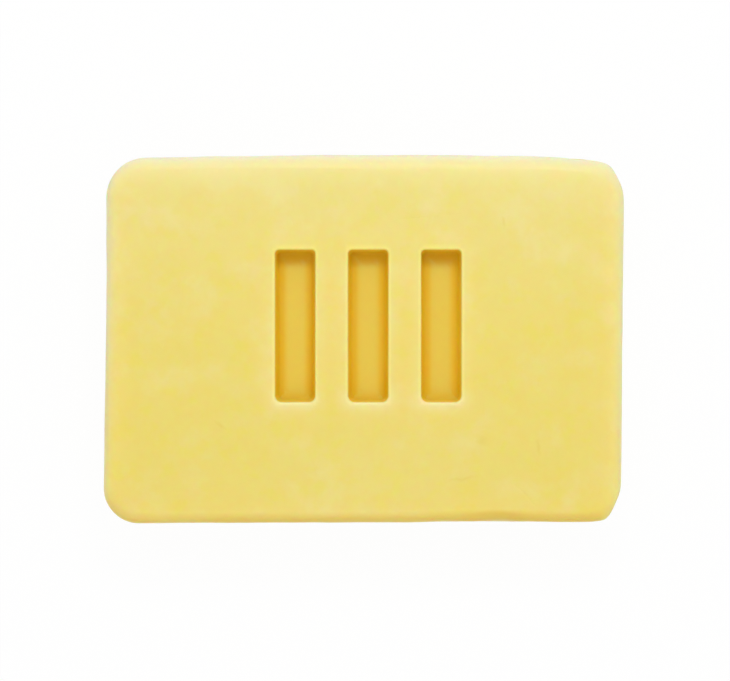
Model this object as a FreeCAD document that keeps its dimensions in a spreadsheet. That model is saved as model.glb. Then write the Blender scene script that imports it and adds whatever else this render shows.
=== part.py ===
"""A massage bar: one solid block of set butter and wax, poured in a flexible mould.

The bar lies on its back, the side that was open while it was poured. Its moulded face
looks up, and a row of straight grooves is sunk into that face. All of it is one piece.

Frame, in millimetres: the origin is the middle of the back, in the plane that the bar
lies on. +X runs along the length, +Y across it towards the rear, and +Z up to the face.
"""

import FreeCAD, Part
import os

import Sketcher

V = FreeCAD.Vector
START, END = 1, 2       # the two ends of a line or an arc in a sketch
ORIGIN = -1             # the sketch's own origin
LEAST = 0.001           # what counts as no distance, in millimetres

# The upright corners of the block, with the signs of X and Y where each one stands.
CORNERS = {"rear_left": (-1, 1), "rear_right": (1, 1),
           "front_left": (-1, -1), "front_right": (1, -1)}

# Alias, value and meaning of each driving dimension: millimetres, degrees or a count.
SIZES = [
    ("bar_length", 80.0, "overall length, at the back"),
    ("bar_width", 57.0, "overall width, at the back"),
    ("bar_thickness", 20.0, "from the back to the face"),
    ("wall_draft", 2.0, "lean of the walls, which lets the bar out of its mould"),
    ("rear_bow", 0.55, "how far the rear wall bulges between its corners"),
    ("front_shift", 0.5, "how far the front has slipped towards -X"),
    ("front_rise", 0.25, "how much narrower the bar is at its right end"),
    ("rear_left_radius", 6.3, "upright corner of the walls"),
    ("rear_right_radius", 6.6, "upright corner of the walls"),
    ("front_left_radius", 5.4, "upright corner of the walls"),
    ("front_right_radius", 4.9, "upright corner of the walls"),
    ("face_edge_radius", 2.2, "rounding between the walls and the face"),
    ("back_edge_radius", 1.0, "rounding between the walls and the back"),
    ("groove_count", 3, "grooves in the row, which runs along X"),
    ("groove_pitch", 11.0, "from the middle of one groove to the next"),
    ("groove_width", 6.1, "across a groove at the face"),
    ("groove_length", 23.0, "along a groove at the face"),
    ("groove_depth", 5.0, "from the face to a groove's floor"),
    ("groove_draft", 4.0, "lean of a groove's walls"),
    ("groove_rear_radius", 0.65, "upright corners at the rear end of a groove"),
    ("groove_front_radius", 1.0, "upright corners at the front end of a groove"),
    ("groove_floor_radius", 0.5, "cove round a groove's floor, less than its corners' radius"),
    ("groove_lip_radius", 0.25, "rounding of a groove's mouth"),
    ("groove_aside", 0.7, "middle of the row, to the right of the bar's middle"),
    ("groove_back", 2.0, "middle of the row, to the rear of the bar's middle"),
]


def make_sheet(doc):
    """The spreadsheet that holds the driving dimensions."""
    sheet = doc.addObject("Spreadsheet::Sheet", "sizes")
    for row, (alias, value, meaning) in enumerate(SIZES, start=1):
        sheet.set(f"A{row}", alias)
        sheet.set(f"B{row}", str(value))
        sheet.set(f"C{row}", meaning)
        sheet.setAlias(f"B{row}", alias)
    doc.recompute()
    return sheet


def origin_part(body, role):
    """A plane or an axis of the body's own origin."""
    return next(part for part in body.Origin.OriginFeatures if part.Role == role)


def add_sketch(body, name, plane):
    """An empty sketch that lies on one of the body's origin planes."""
    sketch = body.newObject("Sketcher::SketchObject", name)
    sketch.AttachmentSupport = [(origin_part(body, plane), "")]
    sketch.MapMode = "FlatFace"
    return sketch


def add_rule(sketch, name, rule, kind, *where):
    """A named dimension of the sketch, worked out from the sheet by the rule."""
    where = (*where, sketch.evalExpression(rule))
    sketch.renameConstraint(sketch.addConstraint(Sketcher.Constraint(kind, *where)), name)
    sketch.setExpression(f"Constraints.{name}", rule)


def add_feature(body, kind, name, **rules):
    """A solid feature of the body, whose numbers follow rules on the sheet."""
    feature = body.newObject(f"PartDesign::{kind}", name)
    for number, rule in rules.items():
        feature.setExpression(number, rule)
    return feature


def names_of(kind, items, wanted):
    """The names of the faces or edges whose bounding box is wanted."""
    return [f"{kind}{n}" for n, item in enumerate(items, start=1) if wanted(item.BoundBox)]


def draft_walls(body, name, angle, plane, wanted):
    """Lean each face of the body for which wanted(box) holds, out from the plane's line."""
    base = body.Tip
    names = names_of("Face", base.Shape.Faces, wanted)
    draft = add_feature(body, "Draft", name, Angle=angle)
    draft.Base = (base, names)
    draft.NeutralPlane = plane
    body.Document.recompute()


def round_edges(body, name, radius, wanted):
    """Round each edge of the body for which wanted(box) holds."""
    base = body.Tip
    names = names_of("Edge", base.Shape.Edges, wanted)
    fillet = add_feature(body, "Fillet", name, Radius=radius)
    fillet.Base = (base, names)
    body.Document.recompute()


def add_outline(body, sheet):
    """The outline of the back: three straight sides, and a rear side that bulges."""
    left, right = -sheet.bar_length / 2, sheet.bar_length / 2
    front, rear = -sheet.bar_width / 2, sheet.bar_width / 2
    rear_left = V(left + sheet.front_shift, rear - sheet.rear_bow)
    rear_right = V(right, rear - sheet.rear_bow)
    rear_middle = (rear_left + rear_right) / 2 + V(0, sheet.rear_bow)
    front_right = V(right - sheet.front_shift, front + sheet.front_rise)
    front_left = V(left, front)

    sketch = add_sketch(body, "outline", "XY_Plane")
    rear_side = sketch.addGeometry(Part.Arc(rear_right, rear_middle, rear_left))
    left_side = sketch.addGeometry(Part.LineSegment(rear_left, front_left))
    front_side = sketch.addGeometry(Part.LineSegment(front_left, front_right))
    right_side = sketch.addGeometry(Part.LineSegment(front_right, rear_right))
    sketch.addConstraint([
        Sketcher.Constraint("Coincident", rear_side, END, left_side, START),
        Sketcher.Constraint("Coincident", left_side, END, front_side, START),
        Sketcher.Constraint("Coincident", front_side, END, right_side, START),
        Sketcher.Constraint("Coincident", right_side, END, rear_side, START),
        Sketcher.Constraint("Horizontal", rear_side, START, rear_side, END),
    ])
    add_rule(sketch, "rear_left_x", "-sizes.bar_length / 2 + sizes.front_shift",
             "DistanceX", ORIGIN, START, left_side, START)
    add_rule(sketch, "rear_right_x", "sizes.bar_length / 2",
             "DistanceX", ORIGIN, START, rear_side, START)
    add_rule(sketch, "rear_y", "sizes.bar_width / 2 - sizes.rear_bow",
             "DistanceY", ORIGIN, START, rear_side, START)
    add_rule(sketch, "front_left_x", "-sizes.bar_length / 2",
             "DistanceX", ORIGIN, START, front_side, START)
    add_rule(sketch, "front_left_y", "-sizes.bar_width / 2",
             "DistanceY", ORIGIN, START, front_side, START)
    add_rule(sketch, "front_right_x", "sizes.bar_length / 2 - sizes.front_shift",
             "DistanceX", ORIGIN, START, right_side, START)
    add_rule(sketch, "front_right_y", "-sizes.bar_width / 2 + sizes.front_rise",
             "DistanceY", ORIGIN, START, right_side, START)
    # A bulge of height b over a chord c is an arc of radius c^2 / 8b + b/2.
    add_rule(sketch, "rear_arc",
             "(sizes.bar_length - sizes.front_shift)^2 / (8 * sizes.rear_bow)"
             " + sizes.rear_bow / 2", "Radius", rear_side)
    return sketch


def add_groove_profile(body, sheet):
    """The mouth of the first groove of the row, drawn at the height of the face."""
    middle_x = sheet.groove_aside - sheet.groove_pitch * (sheet.groove_count - 1) / 2
    left, right = middle_x - sheet.groove_width / 2, middle_x + sheet.groove_width / 2
    front = sheet.groove_back - sheet.groove_length / 2
    rear = sheet.groove_back + sheet.groove_length / 2
    corners = [V(left, front), V(right, front), V(right, rear), V(left, rear)]

    sketch = add_sketch(body, "groove_profile", "XY_Plane")
    sketch.setExpression("AttachmentOffset.Base.z", "sizes.bar_thickness")
    front_side, right_side, rear_side, left_side = (
        sketch.addGeometry(Part.LineSegment(corners[n], corners[(n + 1) % 4])) for n in range(4))
    sketch.addConstraint([
        Sketcher.Constraint("Coincident", front_side, END, right_side, START),
        Sketcher.Constraint("Coincident", right_side, END, rear_side, START),
        Sketcher.Constraint("Coincident", rear_side, END, left_side, START),
        Sketcher.Constraint("Coincident", left_side, END, front_side, START),
        Sketcher.Constraint("Horizontal", front_side),
        Sketcher.Constraint("Vertical", right_side),
        Sketcher.Constraint("Horizontal", rear_side),
        Sketcher.Constraint("Vertical", left_side),
    ])
    add_rule(sketch, "width", "sizes.groove_width",
             "DistanceX", front_side, START, front_side, END)
    add_rule(sketch, "length", "sizes.groove_length",
             "DistanceY", right_side, START, right_side, END)
    add_rule(sketch, "left_x",
             "sizes.groove_aside - sizes.groove_pitch * (sizes.groove_count - 1) / 2"
             " - sizes.groove_width / 2", "DistanceX", ORIGIN, START, front_side, START)
    add_rule(sketch, "front_y", "sizes.groove_back - sizes.groove_length / 2",
             "DistanceY", ORIGIN, START, front_side, START)
    return sketch


def add_block(body, sheet):
    """The poured block: leaning walls, four unlike corners, and rounded edges."""
    slab = add_feature(body, "Pad", "slab", Length="sizes.bar_thickness")
    slab.Profile = add_outline(body, sheet)
    body.Document.recompute()

    half_way = sheet.bar_thickness / 2
    back_plane = (origin_part(body, "XY_Plane"), [""])
    draft_walls(body, "wall_lean", "sizes.wall_draft", back_plane,
                lambda box: box.ZLength > half_way)
    for corner, (side_x, side_y) in CORNERS.items():
        round_edges(body, f"{corner}_corner", f"sizes.{corner}_radius",
                    lambda box: box.ZLength > half_way and box.Center.x * side_x > 0
                    and box.Center.y * side_y > 0)
    round_edges(body, "face_edge", "sizes.face_edge_radius", lambda box: box.ZMin > half_way)
    round_edges(body, "back_edge", "sizes.back_edge_radius", lambda box: box.ZMax < half_way)


def add_grooves(body, sheet):
    """The row of grooves: one pocket, repeated along X, then leaned and rounded together."""
    first = add_feature(body, "Pocket", "first_groove", Length="sizes.groove_depth")
    first.Profile = add_groove_profile(body, sheet)
    body.Document.recompute()

    row = add_feature(body, "LinearPattern", "groove_row", Offset="sizes.groove_pitch",
                      Occurrences="sizes.groove_count")
    row.Originals = [first]
    row.Direction = (origin_part(body, "X_Axis"), [""])
    row.Mode = "Spacing"
    body.Tip = row
    body.Document.recompute()

    face_z = sheet.bar_thickness
    floor_z = face_z - sheet.groove_depth
    half_way = (face_z + floor_z) / 2
    row_reach = sheet.groove_pitch * sheet.groove_count / 2

    def in_row(box):
        """Whether the box lies in the space that the grooves take."""
        return (floor_z - LEAST < box.ZMin
                and abs(box.Center.x - sheet.groove_aside) < row_reach
                and abs(box.Center.y - sheet.groove_back) < sheet.groove_length / 2 + LEAST)

    def is_upright(box):
        """Whether it is also the box of an edge that stands up at a groove's corner."""
        return in_row(box) and box.ZMin < half_way < box.ZMax

    face = names_of("Face", row.Shape.Faces,
                    lambda box: box.ZMin > face_z - LEAST and box.ZLength < LEAST)
    draft_walls(body, "groove_lean", "sizes.groove_draft", (row, face),
                lambda box: in_row(box) and box.ZLength > sheet.groove_depth / 2)
    round_edges(body, "groove_rear_corners", "sizes.groove_rear_radius",
                lambda box: is_upright(box) and box.Center.y > sheet.groove_back)
    round_edges(body, "groove_front_corners", "sizes.groove_front_radius",
                lambda box: is_upright(box) and box.Center.y < sheet.groove_back)
    round_edges(body, "groove_feet", "sizes.groove_floor_radius",
                lambda box: in_row(box) and box.ZMax < half_way)
    round_edges(body, "groove_lips", "sizes.groove_lip_radius",
                lambda box: in_row(box) and box.ZMin > half_way)


def check(doc, body):
    """Stop if a feature failed, or if the body isn't one sound solid."""
    failed = [item.Label for item in doc.Objects if {"Invalid", "Error"} & set(item.State)]
    if failed:
        raise RuntimeError("failed features: " + ", ".join(failed))
    shape = body.Shape
    if shape.isNull() or not shape.isValid() or len(shape.Solids) != 1:
        raise RuntimeError(f"{body.Label} isn't one valid solid")


def main():
    doc = FreeCAD.newDocument("massage_bar")
    sheet = make_sheet(doc)
    body = doc.addObject("PartDesign::Body", "massage_bar")
    add_block(body, sheet)
    block_volume = body.Shape.Volume
    add_grooves(body, sheet)
    check(doc, body)
    print(f"massage_bar: {body.Shape.Volume:.0f} mm3, of which the grooves took "
          f"{block_volume - body.Shape.Volume:.0f} mm3")
    os.makedirs("parts", exist_ok=True)
    body.Shape.exportStep(f"parts/{body.Label}.step")


main()
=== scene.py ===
"""The looks of a massage bar: one block of set butter and wax, poured in a soft mould.

The bar is a finer mesh of the CAD solid. What a soft mould and a warm hand leave on such a
bar is real shape in it: slow waves in every wall, unlike corners, the dents of two fingers
and the sink of the poured back. Clouding, bloom, pits and fine scratches are in its two
finishes, one for what the mould shaped and one for the back, which set in the open air.
The moulded finish also paints light and shade: painted shade in the grooves and along the
front edge, painted sheen on the outer edges and over the rear of the face, and painted
highlights on and round the lips of the grooves. Both finishes paint a little shade in the pits.
All lengths are metres, in the frame of the CAD model: +X right, +Y rear, +Z up.
"""

import math

import bmesh
import bpy
import numpy as np
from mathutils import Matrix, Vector, kdtree, noise


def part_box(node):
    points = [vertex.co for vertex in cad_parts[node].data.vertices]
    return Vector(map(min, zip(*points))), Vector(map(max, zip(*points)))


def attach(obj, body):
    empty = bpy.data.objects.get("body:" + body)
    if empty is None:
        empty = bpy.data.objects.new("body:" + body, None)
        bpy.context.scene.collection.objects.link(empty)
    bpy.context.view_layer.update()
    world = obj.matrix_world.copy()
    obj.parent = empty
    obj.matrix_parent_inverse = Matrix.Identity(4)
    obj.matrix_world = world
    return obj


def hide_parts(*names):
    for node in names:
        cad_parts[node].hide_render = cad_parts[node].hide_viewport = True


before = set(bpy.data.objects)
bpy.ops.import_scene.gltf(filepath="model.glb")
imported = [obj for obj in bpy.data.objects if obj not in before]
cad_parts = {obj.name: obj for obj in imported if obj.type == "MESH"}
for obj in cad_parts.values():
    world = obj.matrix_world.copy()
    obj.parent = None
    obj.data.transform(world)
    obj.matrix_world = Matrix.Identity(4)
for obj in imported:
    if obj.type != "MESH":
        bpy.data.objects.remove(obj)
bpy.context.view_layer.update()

MM = 0.001
LOW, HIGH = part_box("massage_bar")
MIDDLE = (LOW + HIGH) / 2
FACE_Z = HIGH.z


# ---------------------------------------------------------------- the bar's mesh

MESH_PITCH = 0.7 * MM           # how far apart the cuts of the finer mesh are
WELD = 0.0001 * MM              # corners this close are one corner
EVEN_REACH = 0.2 * MM           # facets this close face one way, however narrow they are
FLAT_ANGLE = math.radians(0.3)  # facets that meet flatter than this are one facet

BACK_HEIGHT = 0.9 * MM          # up to here the bar has the finish of its poured back
GROOVE_MARGIN = 10 * MM         # every groove is farther than this from the walls
GROOVE_FLOOR = 4 * MM           # and its floor is deeper than this below the face
GROOVE_APART = 1.5 * MM         # two sides of a groove, or two grooves, are farther apart
LIP_REACH = 0.3 * MM            # how far the painted highlight of a groove's lip reaches over the face
EDGE_DEPTH = 3.2 * MM           # below this, the walls are straight
STEEP = 0.5                     # the sides of a groove face up less than this
UPRIGHT = 0.3                   # and the outer walls of the bar less than this


def beside_grooves(bm, axis):
    """Where along an axis the lips of the grooves end, to cut the mesh there too."""
    mouths = sorted(vert.co[axis] for vert in bm.verts if FACE_Z - vert.co.z < WELD
                    and min(vert.co.x - LOW.x, HIGH.x - vert.co.x, vert.co.y - LOW.y,
                            HIGH.y - vert.co.y) > GROOVE_MARGIN)
    starts = [b for a, b in zip([-1.0] + mouths, mouths) if b - a > GROOVE_APART]
    ends = [a for a, b in zip(mouths, mouths[1:] + [1.0]) if b - a > GROOVE_APART]
    return [place - LIP_REACH for place in starts] + [place + LIP_REACH for place in ends]


def finer_copy(node, pitch):
    """A mesh of the node's own shape, whose facets are cut along planes a pitch apart."""
    bm = bmesh.new()
    bm.from_mesh(node.data)
    bmesh.ops.remove_doubles(bm, verts=bm.verts, dist=WELD)
    bmesh.ops.dissolve_limit(bm, angle_limit=FLAT_ANGLE, verts=bm.verts, edges=bm.edges)
    for axis in range(3):
        normal = Vector((0, 0, 0))
        normal[axis] = 1
        cuts = round((HIGH[axis] - LOW[axis]) / pitch)
        places = [LOW[axis] + (HIGH[axis] - LOW[axis]) * step / cuts for step in range(1, cuts)]
        if axis < 2:
            places += beside_grooves(bm, axis)
        for place in places:
            bmesh.ops.bisect_plane(bm, geom=bm.verts[:] + bm.edges[:] + bm.faces[:],
                                   dist=WELD, plane_co=normal * place, plane_no=normal)
    bmesh.ops.triangulate(bm, faces=[face for face in bm.faces if len(face.verts) > 4])
    mesh = bpy.data.meshes.new("massage_bar_fine")
    bm.to_mesh(mesh)
    bm.free()
    mesh.shade_smooth()
    return mesh


def read_vectors(mesh, name):
    """One vector of every vertex of the mesh, such as its place or its normal, as rows."""
    flat = np.zeros(len(mesh.vertices) * 3)
    mesh.vertices.foreach_get(name, flat)
    return flat.reshape(-1, 3)


def grow_tree(points, targets):
    """A search tree of some of the points, which gives their indices."""
    tree = kdtree.KDTree(len(targets))
    for index in targets:
        tree.insert(points[index], index)
    tree.balance()
    return tree


def even_normals(mesh, points):
    """Which way the surface around each vertex faces, where a large facet counts for more."""
    mesh.calc_loop_triangles()
    corners = np.zeros(len(mesh.loop_triangles) * 3, dtype=int)
    mesh.loop_triangles.foreach_get("vertices", corners)
    corners = corners.reshape(-1, 3)
    first, second, third = (points[corners[:, n]] for n in range(3))
    areas = np.cross(second - first, third - first)
    facing = np.zeros_like(points)
    for n in range(3):
        np.add.at(facing, corners[:, n], areas)
    tree = grow_tree(points, range(len(points)))
    normals = np.array([facing[[hit[1] for hit in tree.find_range(point, EVEN_REACH)]].sum(0)
                        for point in points])
    return normals / np.linalg.norm(normals, axis=1)[:, None]


def waves(points, length, seed):
    """Smooth noise from about -1 to 1 at each point, whose waves are about that long."""
    offset = Vector((seed, seed * 0.7, -seed * 1.3))
    return np.array([noise.noise(Vector(point) / length + offset) for point in points])


def ease(values, start, end):
    """0 before start and 1 after end, with a smooth turn between them."""
    share = np.clip((values - start) / (end - start), 0, 1)
    return share * share * (3 - 2 * share)


def wall_distance(points):
    """How far inside the bar's box each point is, seen from above."""
    x, y, _ = points.T
    return np.minimum.reduce([x - LOW.x, HIGH.x - x, y - LOW.y, HIGH.y - y])


def bell(values, middle, spread):
    """1 at the middle, and next to nothing from two spreads away from it."""
    return np.exp(-((values - middle) / spread) ** 2)


# how deep and how long the waves of each train are, in mm, and the train's seed
WAVES = ((0.10, 17, 3.1), (0.05, 6, 8.4), (0.02, 2.4, 5.7))
WAVES_BELOW = 0.07  # how far the middle of the waves lies inside the mould's own surface, in mm


def wave_surfaces(points, normals, lip_distance):
    """Slow waves in every surface: long ones from the soft mould, short ones from cooling.
    They calm down towards the lips of the grooves, which the mould shaped crisply."""
    swell = sum(depth * waves(points, length * MM, seed) for depth, length, seed in WAVES)
    swell = (swell - WAVES_BELOW) * MM
    swell *= ease(points[:, 2], 0.0, 2.0 * MM) * ease(lip_distance, -0.6 * MM, 4.0 * MM)
    return points + normals * np.minimum(swell, 0)[:, None]


def slacken_walls(points):
    """The mould's walls stood a little slack, so the bar is narrower half way along them."""
    x, y, z = points.T
    up = ease(z, 2 * MM, 9 * MM)
    half_span, inward = 24 * MM, 9 * MM
    left = 1 - np.clip((y - MIDDLE.y) / half_span, -1, 1) ** 2
    front = bell(x, -15 * MM, 7 * MM)
    points[:, 0] += 0.18 * MM * left * (1 - ease(x - LOW.x, 0, inward)) * up
    points[:, 1] += 0.06 * MM * front * (1 - ease(y - LOW.y, 0, inward)) * up
    return points


def flatten_corner(points):
    """The front right corner has been set down hard: a soft flat, with a lip in front of it."""
    out = np.array((0.918, -0.397, 0.0))    # which way the flat faces
    from_middle = 44.72 * MM                # how far out it is
    soft = 0.15 * MM                        # how softly the walls turn into it
    past = np.clip((points @ out - from_middle) / soft, -30, 30)
    pressed = np.minimum(soft * np.log1p(np.exp(past)), 2 * MM)
    points = points - out * (pressed * ease(points[:, 2], 2 * MM, 9 * MM))[:, None]
    x, y, z = points.T
    lip = bell(x, 36.6 * MM, 1.1 * MM) * bell(y, -27.4 * MM, 1.2 * MM)
    points[:, 1] -= 0.28 * MM * lip * ease(z, 6 * MM, 14 * MM)
    return points


def slump_rear_corner(points):
    """The rear right corner left the mould soft: the edge slumps and ends in a knuckle."""
    x, y, z = points.T
    up = ease(z, 3 * MM, 12 * MM)
    near = 1 - ease(HIGH.y - y, 0.5 * MM, 6 * MM)
    points[:, 1] -= 0.40 * MM * bell(x, 32.9 * MM, 2.8 * MM) * near * up
    knuckle = 0.34 * MM * bell(x, 37.0 * MM, 1.5 * MM) * bell(y, 26.0 * MM, 1.5 * MM) * up
    out = np.array((0.66, 0.75, 0.0))       # which way the knuckle stands out
    return points + out * knuckle[:, None]


# where along the front edge each finger pressed, how wide, how far in and how far down, in mm
FINGERS = ((20.5, 3.6, 0.22, 0.32), (13.0, 3.4, 0.15, 0.12))


def dent_front_edge(points):
    """Two shallow dents of fingers in the front edge, to the right, and a rubbed left end."""
    x, y, z = points.T
    up = ease(z, FACE_Z - 8 * MM, FACE_Z - 2 * MM)
    near = 1 - ease(y - LOW.y, 0.4 * MM, 4.5 * MM)
    pressed = 1 - ease(y - LOW.y, 0.9 * MM, 2.7 * MM)
    for place, spread, inward, down in FINGERS:
        finger = bell(x, place * MM, spread * MM) * up
        fingertip = bell(x, place * MM, spread / 1.3 * MM) * up
        points[:, 1] += inward * MM * finger * near
        points[:, 2] -= down * MM * fingertip * pressed
    rubbed = bell(x, -38.5 * MM, 3.2 * MM) * bell(y, -27.0 * MM, 3.2 * MM)
    points[:, 2] -= 0.45 * MM * rubbed * up
    return points


def sink_back(points):
    """The poured back sinks as it sets, and keeps a level rim where it crept up the mould."""
    sink = 0.45 * ease(wall_distance(points), 2.5 * MM, 14 * MM)
    sink *= 1 + 0.5 * waves(points, 9 * MM, 2.2)
    ripple = 0.05 * (1 + waves(points, 3.2 * MM, 6.6)) * ease(wall_distance(points), MM, 3 * MM)
    at_back = 1 - ease(points[:, 2], 0.0, 0.6 * MM)
    points[:, 2] += (sink + ripple) * MM * at_back
    return points


def nearest(points, targets):
    """For each point the index of the nearest of some of the points, and how far it is."""
    tree = grow_tree(points, targets)
    found = [tree.find(point) for point in points]
    return np.array([hit[1] for hit in found]), np.array([hit[2] for hit in found])


def mark_groove_shade(points, normals):
    """Painted shade in the grooves at each vertex: 0 in the open, up to 1 at the foot of a
    groove.
    The rear side of a groove, over which the key light comes, casts its painted shadow farthest
    over the floor, and the front side the least."""
    depth = FACE_Z - points[:, 2]
    sunk = (wall_distance(points) > GROOVE_MARGIN) & (depth < 2 * GROOVE_FLOOR)
    sides = np.flatnonzero(sunk & (depth > MM) & (np.abs(normals[:, 2]) < STEEP))
    side, distance = nearest(points, sides)
    rear_side, front_side = normals[side, 1] < -0.7, normals[side, 1] > 0.7
    reach = np.where(rear_side, 2.9, 2.1) * MM
    strength = np.where(front_side, 0.55, 1.0)
    on_floor = depth > GROOVE_FLOOR
    near = np.where(on_floor, 1 - ease(distance / reach, 0.05, 1.0), 1.0)
    return (0.35 + 0.65 * strength * near) * ease(depth, 0.2 * MM, 1.4 * MM) * sunk


def mark_lip_highlight(points):
    """The painted highlight on the lips of the grooves, 1 on the rounding of a groove's mouth and
    0 beyond it, and how far each vertex is from the lips."""
    depth = FACE_Z - points[:, 2]
    lips = np.flatnonzero((wall_distance(points) > GROOVE_MARGIN) & (depth > WELD)
                          & (depth < 0.2 * MM))
    _, distance = nearest(points, lips)
    return 1 - ease(distance, 0.0, LIP_REACH), distance


def find_edge(points, normals):
    """How far inside the outer edge each vertex is, seen from above, and how far the nearest
    part of that edge faces right and to the rear, each from -1 to 1."""
    depth = FACE_Z - points[:, 2]
    edge = np.flatnonzero((np.abs(depth - EDGE_DEPTH) < MM) & (np.abs(normals[:, 2]) < UPRIGHT)
                          & (wall_distance(points) < GROOVE_MARGIN))
    index, distance = nearest(points * (1, 1, 0), edge)
    return distance, normals[index, 0], normals[index, 1]


def near_face(depth):
    """1 at the height of the face, and almost 0 where the walls are straight."""
    return 1 - 0.95 * ease(depth, 1.2 * MM, 4.2 * MM)


def on_face(depth):
    """1 on the face, and 0 beside and below its rounded edge."""
    return 1 - ease(depth, 0.5 * MM, 2 * MM)


def mark_front_shade(points, edge):
    """Painted shade along the front edge, which faces away from the key light, and in the larger
    finger dent. It reaches farther in at the left end, and hardly onto the flattened corner at
    its right end."""
    distance, _, rear = edge
    x, _, z = points.T
    left_end, right_end = ease(-x, 30 * MM, 36 * MM), ease(x, 35 * MM, 37 * MM)
    to_right = ease(x, 5 * MM, 25 * MM)
    front = np.maximum(-rear, 0) ** (2 - 0.8 * left_end) * (1 - 0.8 * right_end)
    front *= 1 - 0.6 * ease(FACE_Z - z, 2.5 * MM, 9 * MM)
    width = (1.9 + 0.3 * to_right + 0.6 * left_end) * MM
    front_shade = (0.62 + 0.15 * to_right) * (1 - ease(distance, 0.7 * MM, width))
    front_shade *= 1 - 0.5 * bell(x, -29 * MM, 6 * MM)
    front_shade += 0.8 * bell(x, 19.6 * MM, 3.3 * MM) * (1 - ease(distance, 1.3 * MM, 2.3 * MM))
    return np.clip(front * front_shade, 0, 1)


def mark_bloom_and_sheen(points, edge, lip_distance):
    """Where the bar is pale with bloom, which paints the sheen of its edges: thickest on the rear
    one, which faces the key light, and on the sides near it, but less so on the corners between
    them. There is a thin veil of painted light over the rear of the face, a thin pale veil in
    front of the grooves, and a painted glow in a ring round each groove, strongest at its front."""
    distance, right, rear = edge
    x, y, z = points.T
    depth = FACE_Z - z
    to_rear = ease(y, -20 * MM, 8 * MM)
    reach = (0.8 + 0.4 * np.maximum(rear, 0)) * MM
    sides = np.where(right > 0, 0.22, 0.30) * to_rear - 0.05 * (1 - to_rear)
    coat = 0.52 + 0.35 * rear + sides * np.abs(right)
    coat -= np.where(right > 0, 0.16, 0.44) * np.abs(right) * np.maximum(rear, 0)
    bloom_and_sheen = coat * np.exp(-distance / reach)
    bloom_and_sheen += 0.10 * np.maximum(rear, 0) * np.exp(-distance / (3.5 * MM))
    bloom_and_sheen *= near_face(depth)
    # painted light over the rear of the face, and a pale veil in front of the grooves
    veil = 0.12 * ease(y, -5 * MM, 26 * MM)
    veil += 0.07 * bell(x, 0, 13 * MM) * bell(y, -22 * MM, 6 * MM)
    bloom_and_sheen += veil * on_face(depth)
    # painted glow round the lips of each groove, strongest at the front
    ring = 0.14 + 0.30 * ease(-y, 7 * MM, 10 * MM) - 0.14 * ease(y, 10 * MM, 12.5 * MM)
    return bloom_and_sheen + ring * np.exp(-lip_distance / (0.9 * MM)) * (depth < 0.5 * MM)


def mark_green_sheen(points, edge):
    """Where the bar has a greener, pale painted sheen: the rim of its right edge, and a soft band
    of the face along its rear edge, where the key light falls."""
    distance, right, rear = edge
    depth = FACE_Z - points[:, 2]
    rim = 0.32 * np.maximum(right, 0) * np.exp(-distance / (0.7 * MM)) * near_face(depth)
    band = 0.15 * np.maximum(rear, 0) * bell(distance, 3 * MM, 2 * MM) * on_face(depth)
    return rim + band


def store(mesh, name, values):
    """Store a number for every vertex, which a material reads by its name."""
    mesh.attributes.new(name, "FLOAT", "POINT").data.foreach_set("value", values)


def pour(mesh):
    """Give the mesh the shape that pouring, cooling and handling leave, and its marks, with the
    painted light and shade of its moulded finish.
    """
    points = read_vectors(mesh, "co")
    normals = even_normals(mesh, points)
    edge = find_edge(points, normals)
    lips, lip_distance = mark_lip_highlight(points)
    front_shade = mark_front_shade(points, edge)
    bloom_and_sheen = np.clip(mark_bloom_and_sheen(points, edge, lip_distance) * (1 - front_shade), 0, 1)
    # stored for the moulded finish: painted highlights on the lips, painted shade in the grooves
    # and along the front edge, and painted sheen on the edges
    for name, mark in (("lip", lips), ("groove_shade", mark_groove_shade(points, normals)),
                       ("bloom_and_sheen", bloom_and_sheen), ("front_shade", front_shade), ("green_sheen", mark_green_sheen(points, edge))):
        store(mesh, name, mark)
    points = wave_surfaces(points, normals, lip_distance)
    for change in (slacken_walls, flatten_corner, slump_rear_corner, dent_front_edge,
                   sink_back):
        points = change(points)
    mesh.vertices.foreach_set("co", points.ravel())
    mesh.update()


def make_bar(moulded, poured):
    """Make the bar, which stands for the CAD solid, in the finishes of its mould and back."""
    mesh = finer_copy(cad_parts["massage_bar"], MESH_PITCH)
    pour(mesh)
    mesh.materials.append(moulded)
    mesh.materials.append(poured)
    for face in mesh.polygons:
        face.material_index = int(face.center.z < BACK_HEIGHT)
    bar = bpy.data.objects.new("butter_bar", mesh)
    bpy.context.scene.collection.objects.link(bar)
    bar.modifiers.new("even_shading", "WEIGHTED_NORMAL")
    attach(bar, "root")
    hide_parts("massage_bar")


# ---------------------------------------------------------------- shader helpers

def put(tree, kind, inputs=None, **settings):
    """A new node in the tree, with its settings, and its inputs set or linked."""
    node = tree.nodes.new("ShaderNode" + kind)
    for name, value in settings.items():
        setattr(node, name, value)
    for name, value in (inputs or {}).items():
        if isinstance(value, bpy.types.NodeSocket):
            tree.links.new(value, node.inputs[name])
        else:
            node.inputs[name].default_value = value
    return node


def calculate(tree, operation, first, second):
    """The result of a sum with two values."""
    return put(tree, "Math", {0: first, 1: second}, operation=operation).outputs[0]


def between(tree, value, start, end, low=0.0, high=1.0):
    """The value, spread smoothly from low at start to high at end, and held beyond them."""
    spread = put(tree, "MapRange", {"Value": value, "From Min": start, "From Max": end,
                                    "To Min": low, "To Max": high},
                 interpolation_type="SMOOTHSTEP")
    return spread.outputs["Result"]


def fade(tree, value, start, end):
    """1 up to the start and 0 from the end on, with a straight slope between them."""
    slope = put(tree, "MapRange", {"Value": value, "From Min": start, "From Max": end,
                                   "To Min": 1.0, "To Max": 0.0})
    return slope.outputs["Result"]


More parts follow.
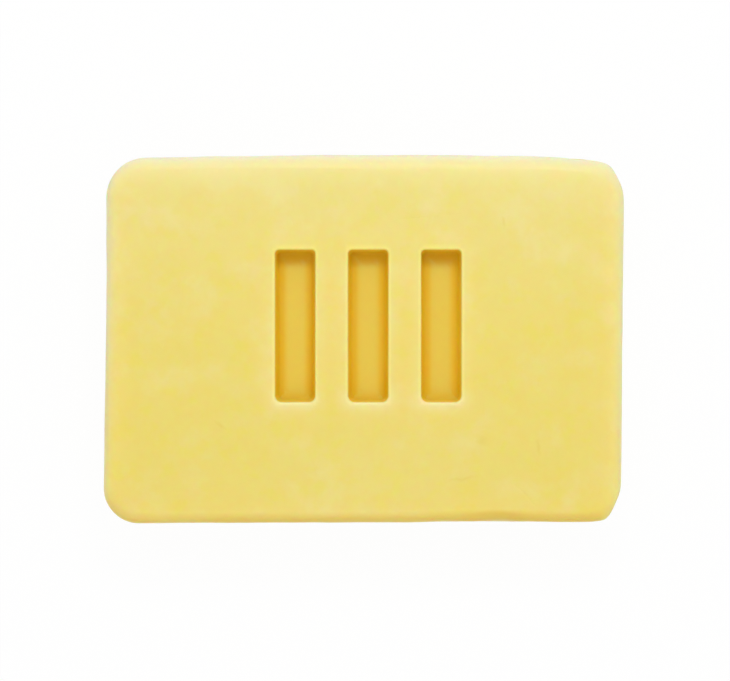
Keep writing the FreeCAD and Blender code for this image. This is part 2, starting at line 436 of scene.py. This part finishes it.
def tint(tree, share, below, above):
    """One colour over another, by the share."""
    mix = put(tree, "Mix", data_type="RGBA")
    for socket, value in ((mix.inputs[0], share), (mix.inputs[6], below), (mix.inputs[7], above)):
        if isinstance(value, bpy.types.NodeSocket):
            tree.links.new(value, socket)
        else:
            socket.default_value = value
    return mix.outputs[2]


def layers(tree, colour, *over):
    """The colour with others laid over it in turn, each by its mask, or a share of it."""
    for above, mask, *shares in over:
        for share in shares:
            mask = calculate(tree, "MULTIPLY", mask, share)
        colour = tint(tree, mask, colour, above)
    return colour


def add_up(tree, value, *terms):
    """The value plus each mask times its weight."""
    for mask, weight in terms:
        value = calculate(tree, "ADD", value, calculate(tree, "MULTIPLY", mask, weight))
    return value


def surface_place(tree):
    """Where on the bar a point of its surface is, in metres."""
    return put(tree, "TexCoord").outputs["Object"]


def new_group(name, inputs, outputs):
    """A node group with float inputs, given with their first values, and float outputs."""
    tree = bpy.data.node_groups.new(name, "ShaderNodeTree")
    for socket, value in inputs.items():
        made = tree.interface.new_socket(name=socket, in_out="INPUT",
                                         socket_type="NodeSocketFloat")
        made.default_value = value
    for socket in outputs:
        tree.interface.new_socket(name=socket, in_out="OUTPUT", socket_type="NodeSocketFloat")
    return tree, tree.nodes.new("NodeGroupInput").outputs, tree.nodes.new("NodeGroupOutput")


def use_group(tree, group, **values):
    """The group placed in a tree, with its own values; their names have _ for a space."""
    node = tree.nodes.new("ShaderNodeGroup")
    node.node_tree = group
    for name, value in values.items():
        node.inputs[name.replace("_", " ")].default_value = value
    return node.outputs


# ---------------------------------------------------------------- effects in the finishes

# how closely the patches of each kind lie, against the warm ones, how far they are moved
# from those, and the noise at which a patch starts and is full
PATCHES = {"Warm": (1.0, (0.0, 0.0, 0.0), 0.46, 0.70),
           "Fresh": (1.3, (0.31, 0.17, 0.05), 0.49, 0.68),
           "Pale": (0.6, (0.12, 0.53, 0.29), 0.45, 0.75)}


def clouding_group():
    """Soft patches where the butter and the wax set unevenly: warm, fresh and pale ones."""
    tree, given, result = new_group("clouding", {"Patches per metre": 260.0},
                                    ("Warm", "Fresh", "Pale"))
    place = surface_place(tree)
    scale = given["Patches per metre"]
    for name, (closeness, shift, start, end) in PATCHES.items():
        moved = put(tree, "VectorMath", {0: place, 1: shift}, operation="ADD").outputs[0]
        cloud = put(tree, "TexNoise", {"Vector": moved,
                                       "Scale": calculate(tree, "MULTIPLY", scale, closeness),
                                       "Detail": 5.0, "Roughness": 0.6, "Distortion": 0.12})
        tree.links.new(between(tree, cloud.outputs["Fac"], start, end), result.inputs[name])
    return tree


def pits_group():
    """Small round pits left by air bubbles, at only a share of their possible places."""
    tree, given, result = new_group("pits", {"Pits per metre": 260.0, "Size": 0.22,
                                             "Share": 0.3}, ("Mask",))
    cells = put(tree, "TexVoronoi", {"Vector": surface_place(tree),
                                     "Scale": given["Pits per metre"]})
    hole = between(tree, cells.outputs["Distance"], 0.0, given["Size"], 1.0, 0.0)
    draw = put(tree, "SeparateColor", {"Color": cells.outputs["Color"]}).outputs["Red"]
    kept = calculate(tree, "LESS_THAN", draw, given["Share"])
    tree.links.new(calculate(tree, "MULTIPLY", hole, kept), result.inputs["Mask"])
    return tree


def hairlines_group():
    """Long, thin, slightly curved scratches that come in a few places only."""
    tree, given, result = new_group("hairlines", {"Lines per metre": 90.0, "Width": 0.006},
                                    ("Mask",))
    place = surface_place(tree)
    turned = put(tree, "Mapping", {"Vector": place, "Rotation": (0.1, 0.2, 0.45),
                                   "Scale": (0.35, 1.5, 1.0)}).outputs[0]
    field = put(tree, "TexNoise", {"Vector": turned, "Scale": given["Lines per metre"],
                                   "Detail": 1.0, "Distortion": 0.3}).outputs["Fac"]
    off = calculate(tree, "SUBTRACT", field, 0.5)
    off = put(tree, "Math", {0: off}, operation="ABSOLUTE").outputs[0]
    line = fade(tree, off, 0.0, given["Width"])
    where = put(tree, "TexNoise", {"Vector": place, "Scale": 70.0, "Detail": 1.0})
    here = between(tree, where.outputs["Fac"], 0.56, 0.66)
    tree.links.new(calculate(tree, "MULTIPLY", line, here), result.inputs["Mask"])
    return tree


def grain_group():
    """The skin of set wax: soft orange peel with a much finer grain on it."""
    tree, given, result = new_group("grain", {"Peel per metre": 900.0,
                                              "Grain per metre": 5200.0}, ("Peel", "Grain"))
    place = surface_place(tree)
    for name, detail in (("Peel", 2.0), ("Grain", 1.0)):
        skin = put(tree, "TexNoise", {"Vector": place, "Scale": given[f"{name} per metre"],
                                      "Detail": detail})
        tree.links.new(skin.outputs["Fac"], result.inputs[name])
    return tree


# where each scuff is on the face, how long and wide it is, in mm, and its turn in radians
SCUFFS = ((13.3, -10.2, 0.9, 0.7, 0.2), (17.8, -15.2, 0.8, 1.1, 0.9),
          (14.8, -21.0, 2.4, 0.3, 0.15), (26.4, -16.2, 0.4, 1.2, 0.1),
          (-21.5, -13.0, 1.1, 0.4, -0.6), (21.0, 17.5, 0.3, 0.9, 0.2))


def scuffs_group():
    """Where the bar was touched after it set: rubbed spots and short scratches in its face."""
    tree, given, result = new_group("scuffs", {"Edge": 0.5}, ("Mask",))
    place = surface_place(tree)
    wander = put(tree, "TexNoise", {"Vector": place, "Scale": 700.0, "Detail": 1.0})
    shift = put(tree, "VectorMath", {0: wander.outputs["Color"], 1: (0.5, 0.5, 0.5)},
                operation="SUBTRACT").outputs[0]
    shift = put(tree, "VectorMath", {0: shift, "Scale": 0.9 * MM}, operation="SCALE").outputs[0]
    place = put(tree, "VectorMath", {0: place, 1: shift}, operation="ADD").outputs[0]
    mask = 0.0
    for x, y, length, width, turn in SCUFFS:
        local = put(tree, "Mapping", {"Vector": place, "Location": (x * MM, y * MM, FACE_Z),
                                      "Rotation": (0.0, 0.0, turn),
                                      "Scale": (length * MM, width * MM, 60 * MM)},
                    vector_type="TEXTURE")
        away = put(tree, "VectorMath", {0: local.outputs[0]}, operation="LENGTH").outputs["Value"]
        mask = calculate(tree, "MAXIMUM", mask, fade(tree, away, given["Edge"], 1.2))
    tree.links.new(mask, result.inputs["Mask"])
    return tree


# ---------------------------------------------------------------- the bar's two finishes

BUTTER = (0.850, 0.715, 0.174, 1)
WARM = (0.852, 0.696, 0.142, 1)      # where more cocoa butter gathered
FRESH = (0.839, 0.719, 0.104, 1)     # where the oils stayed green
PALE = (0.864, 0.744, 0.296, 1)      # a veil of fine white crystals of fat
BLOOM_AND_SHEEN = (0.880, 0.868, 0.660, 1)     # pale bloom that paints the sheen of the outer edges and the light on the rear of the face
GREEN_SHEEN = (0.840, 0.895, 0.330, 1)  # a greener pale tint, painted sheen on the right rim and along the rear of the face
FRONT_SHADE = (0.815, 0.610, 0.110, 1)     # painted shade along the front edge and in the larger finger dent
SCUFF = (0.800, 0.640, 0.110, 1)     # a touched spot
LIP_HIGHLIGHT = (0.980, 0.800, 0.190, 1)       # painted highlight on the lip of a groove
GROOVE_SHADE = (0.880, 0.720, 0.115, 1)    # painted shade: the deeper amber of a groove's floor
# painted shade: the deepest amber, at the foot of a groove's walls
GROOVE_FOOT_SHADE = (0.872, 0.575, 0.013, 1)


def new_material(name):
    """A material with only a Principled shader and its output."""
    material = bpy.data.materials.new(name)
    material.use_nodes = True
    tree = material.node_tree
    return material, tree, tree.nodes["Principled BSDF"]


def light_inside(shader, depth):
    """Let light into the wax, red farthest, so that edges and shaded places glow amber."""
    shader.subsurface_method = "RANDOM_WALK"
    shader.inputs["Subsurface Weight"].default_value = 1.0
    shader.inputs["Subsurface Radius"].default_value = (1.0, 0.4, 0.1)
    shader.inputs["Subsurface Scale"].default_value = depth
    shader.inputs["IOR"].default_value = 1.45


def raise_surface(tree, shader, height, strength, distance):
    """Raise and sink the skin of the wax a little by a height."""
    bump = put(tree, "Bump", {"Strength": strength, "Distance": distance, "Height": height})
    tree.links.new(bump.outputs["Normal"], shader.inputs["Normal"])


def moulded_finish(clouding, pits, hairlines, grain, scuffs):
    """The sides that the mould shaped: smooth and satin, clouded, with a pit here and there."""
    material, tree, shader = new_material("moulded_butter")
    cloud = use_group(tree, clouding, Patches_per_metre=260.0)
    pit = use_group(tree, pits, Pits_per_metre=230.0, Size=0.2, Share=0.3)["Mask"]
    line = use_group(tree, hairlines, Lines_per_metre=90.0, Width=0.006)["Mask"]
    skin = use_group(tree, grain, Peel_per_metre=900.0, Grain_per_metre=5200.0)
    scuff = use_group(tree, scuffs, Edge=0.3)["Mask"]
    # the painted shade of the grooves and the front edge, the painted highlights of the lips and
    # the painted sheen of the edges
    groove_shade, lip, bloom_and_sheen, front_shade, green_sheen = (
        put(tree, "Attribute", attribute_name=name).outputs["Fac"]
        for name in ("groove_shade", "lip", "bloom_and_sheen", "front_shade", "green_sheen"))

    # over the clouding go painted light and shade: highlights on the lips of the grooves, sheen
    # on the outer edges, and shade along the front edge and in the grooves
    colour = layers(tree, BUTTER, (WARM, cloud["Warm"], 0.6), (FRESH, cloud["Fresh"], 0.6),
                    # the pits are darkened a little with the warm colour, as painted shade in
                    # them
                    (PALE, cloud["Pale"], 0.55), (WARM, pit, 0.5), (SCUFF, scuff, 0.45),
                    (LIP_HIGHLIGHT, lip, 0.7), (BLOOM_AND_SHEEN, bloom_and_sheen), (GREEN_SHEEN, green_sheen), (FRONT_SHADE, front_shade),
                    (GROOVE_SHADE, between(tree, groove_shade, 0.0, 0.35)),
                    (GROOVE_FOOT_SHADE, between(tree, groove_shade, 0.35, 1.0)))
    tree.links.new(colour, shader.inputs["Base Color"])
    rough = add_up(tree, between(tree, cloud["Pale"], 0.0, 1.0, 0.40, 0.50), (line, 0.12),
                   (scuff, 0.10), (between(tree, groove_shade, 0.0, 0.15), 0.35),
                   (between(tree, bloom_and_sheen, 0.15, 0.9), 0.25))
    tree.links.new(rough, shader.inputs["Roughness"])
    height = add_up(tree, 0.0, (skin["Peel"], 0.50), (skin["Grain"], 0.06), (pit, -1.6),
                    (line, -0.5))
    raise_surface(tree, shader, height, 0.6, 0.05 * MM)
    light_inside(shader, 3.0 * MM)
    return material


def poured_finish(clouding, pits, hairlines, grain):
    """The back, which set in the open air: matt with bloom, and full of small bubbles."""
    material, tree, shader = new_material("poured_butter")
    cloud = use_group(tree, clouding, Patches_per_metre=180.0)
    pit = use_group(tree, pits, Pits_per_metre=420.0, Size=0.3, Share=0.5)["Mask"]
    line = use_group(tree, hairlines, Lines_per_metre=130.0, Width=0.01)["Mask"]
    skin = use_group(tree, grain, Peel_per_metre=600.0, Grain_per_metre=4200.0)

    # the pits are darkened a little with the warm colour, as painted shade in them
    colour = layers(tree, BUTTER, (WARM, cloud["Warm"], 0.5), (FRESH, cloud["Fresh"], 0.3),
                    (PALE, between(tree, cloud["Pale"], 0.0, 1.0, 0.25, 0.8)), (WARM, pit, 0.6))
    tree.links.new(colour, shader.inputs["Base Color"])
    tree.links.new(between(tree, cloud["Pale"], 0.0, 1.0, 0.52, 0.66),
                   shader.inputs["Roughness"])
    height = add_up(tree, 0.0, (skin["Peel"], 1.4), (skin["Grain"], 0.2), (pit, -2.2),
                    (line, -0.8))
    raise_surface(tree, shader, height, 0.7, 0.07 * MM)
    light_inside(shader, 2.5 * MM)
    return material


# ---------------------------------------------------------------- the stage

FACE_MIDDLE = Vector((MIDDLE.x, MIDDLE.y, FACE_Z))
LENGTH_SHARE = 0.7143           # how much of the camera's width the bar's length takes
SEEN_LENGTH = 78.4 * MM         # the bar's length at the foot of its rounded face edge
CAMERA_LENS = 180
CAMERA_SENSOR = 36
CAMERA_ASIDE = Vector((0.22, -0.2, 0)) * MM     # how far beside the bar's middle it hangs
TENT_LIGHT = 0.74               # how bright the white tent is as a light; 1 is white to see
FLOOR_WHITE = 0.955             # how much of the floor is plain white; the rest has the shadow


def softbox(name, lean_y, lean_x, distance, width, depth, power):
    """Hang a rectangular lamp over the bar, leaning so many degrees to +Y and to +X."""
    lamp = bpy.data.lights.new(name, "AREA")
    lamp.shape = "RECTANGLE"
    lamp.size, lamp.size_y, lamp.energy = width, depth, power
    box = bpy.data.objects.new(name, lamp)
    bpy.context.scene.collection.objects.link(box)
    away = Vector((math.tan(math.radians(lean_x)), math.tan(math.radians(lean_y)), 1))
    box.location = FACE_MIDDLE + away.normalized() * distance
    box.rotation_euler = (FACE_MIDDLE - box.location).to_track_quat("-Z", "Y").to_euler()


def white_to_see(tree, share):
    """1 for what the bar reflects, that share for the camera, and 0 for the light on the bar."""
    path = put(tree, "LightPath").outputs
    seen = calculate(tree, "MULTIPLY", path["Is Camera Ray"], share)
    for ray in ("Is Glossy Ray", "Is Transmission Ray"):
        seen = calculate(tree, "MAXIMUM", seen, path[ray])
    return seen


def make_floor():
    """A wide white sweep: white to the camera and in reflections, with the bar's shadow."""
    mesh = bpy.data.meshes.new("floor")
    reach = 2.0
    mesh.from_pydata([(-reach, -reach, 0), (reach, -reach, 0), (reach, reach, 0),
                      (-reach, reach, 0)], [], [(0, 1, 2, 3)])
    floor = bpy.data.objects.new("floor", mesh)
    bpy.context.scene.collection.objects.link(floor)
    material, tree, shader = new_material("white_sweep")
    paper = put(tree, "TexNoise", {"Vector": surface_place(tree), "Scale": 900.0})
    shader.inputs["Roughness"].default_value = 0.9
    tree.links.new(tint(tree, paper.outputs["Fac"], (0.93, 0.93, 0.93, 1), (0.96, 0.96, 0.96, 1)),
                   shader.inputs["Base Color"])
    glow = put(tree, "Emission")
    mix = put(tree, "MixShader", {"Fac": white_to_see(tree, FLOOR_WHITE), 1: shader.outputs[0],
                                  2: glow.outputs[0]})
    tree.links.new(mix.outputs[0], tree.nodes["Material Output"].inputs["Surface"])
    mesh.materials.append(material)


def make_world():
    """An even white tent around the bar."""
    world = bpy.data.worlds.new("tent")
    world.use_nodes = True
    background = world.node_tree.nodes["Background"]
    background.inputs["Color"].default_value = (1, 1, 1, 1)
    tree = world.node_tree
    strength = calculate(tree, "MAXIMUM", white_to_see(tree, 1.0), TENT_LIGHT)
    tree.links.new(strength, background.inputs["Strength"])
    bpy.context.scene.world = world


def make_camera():
    """A long lens straight above the face, framed so that the bar fills most of its width."""
    camera = bpy.data.cameras.new("camera")
    camera.lens, camera.sensor_width = CAMERA_LENS, CAMERA_SENSOR
    over = CAMERA_LENS / CAMERA_SENSOR * SEEN_LENGTH / LENGTH_SHARE
    holder = bpy.data.objects.new("camera", camera)
    bpy.context.scene.collection.objects.link(holder)
    holder.location = FACE_MIDDLE + CAMERA_ASIDE + Vector((0, 0, over))
    bpy.context.scene.camera = holder


effects = clouding_group(), pits_group(), hairlines_group(), grain_group()
make_bar(moulded_finish(*effects, scuffs_group()), poured_finish(*effects))
make_floor()
make_world()
softbox("key", lean_y=27, lean_x=5, distance=0.38, width=0.09, depth=0.08, power=0.38)
softbox("fill", lean_y=-28, lean_x=-4, distance=0.7, width=0.2, depth=0.16, power=0.20)
make_camera()
bpy.context.scene.view_settings.view_transform = "Standard"
